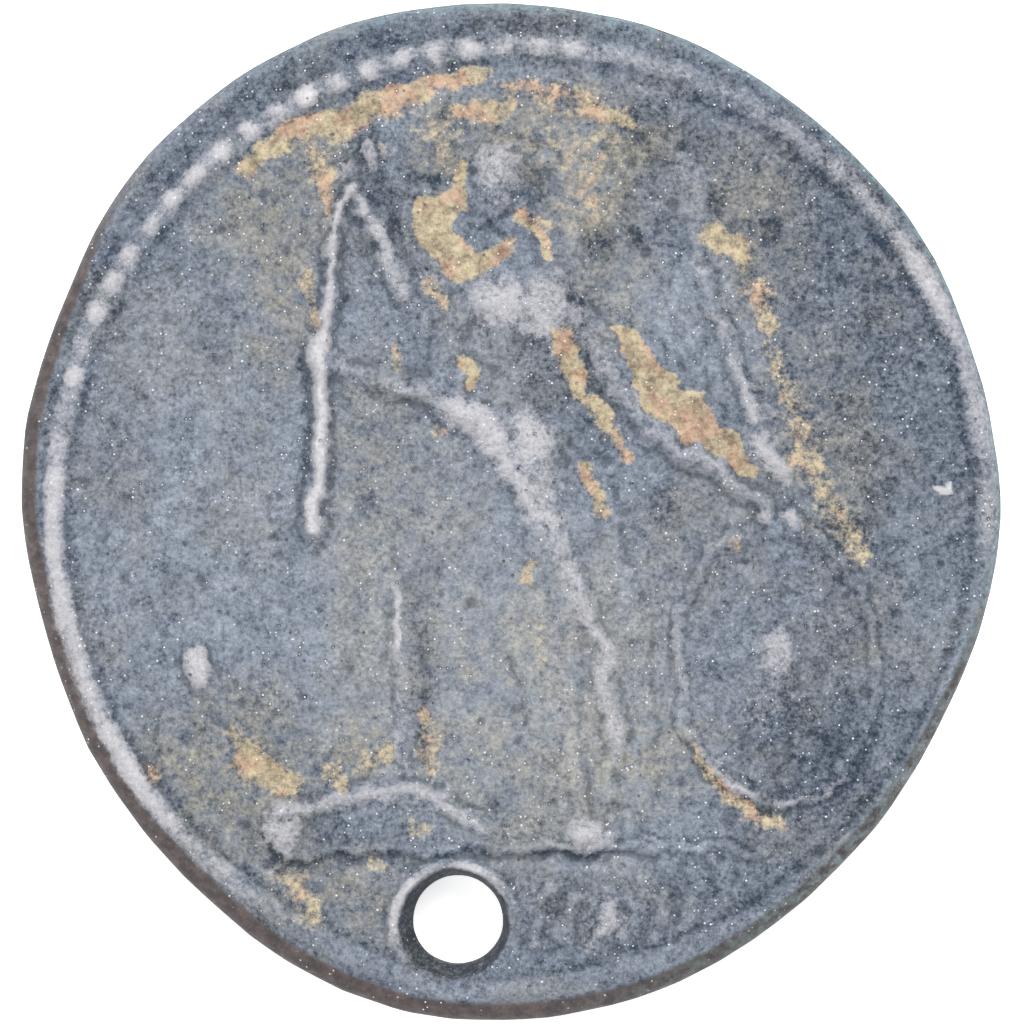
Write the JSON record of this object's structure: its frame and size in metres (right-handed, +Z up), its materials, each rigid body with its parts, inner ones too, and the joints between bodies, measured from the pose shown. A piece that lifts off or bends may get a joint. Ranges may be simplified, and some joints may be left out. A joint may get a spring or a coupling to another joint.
{
  "type": "follis coin",
  "caption": "Worn bronze follis, pierced near its rim, with a winged figure on a prow in low relief and a helmeted bust beneath.",
  "frame": {"origin": "on the plane that the coin lies on, under the middle of its outline", "axes": "+Z up out of the reverse, +Y towards the top of the standing figure, +X to the viewer's right"},
  "size_m": [0.0172, 0.018, 0.0016],
  "materials": {
    "bronze_patina": "matt slate-grey patina on struck bronze, silvery where it is worn, with ochre earth in the hollows"
  },
  "bodies": {
    "root": {"coin": "bronze_patina"}
  },
  "joints": []
}
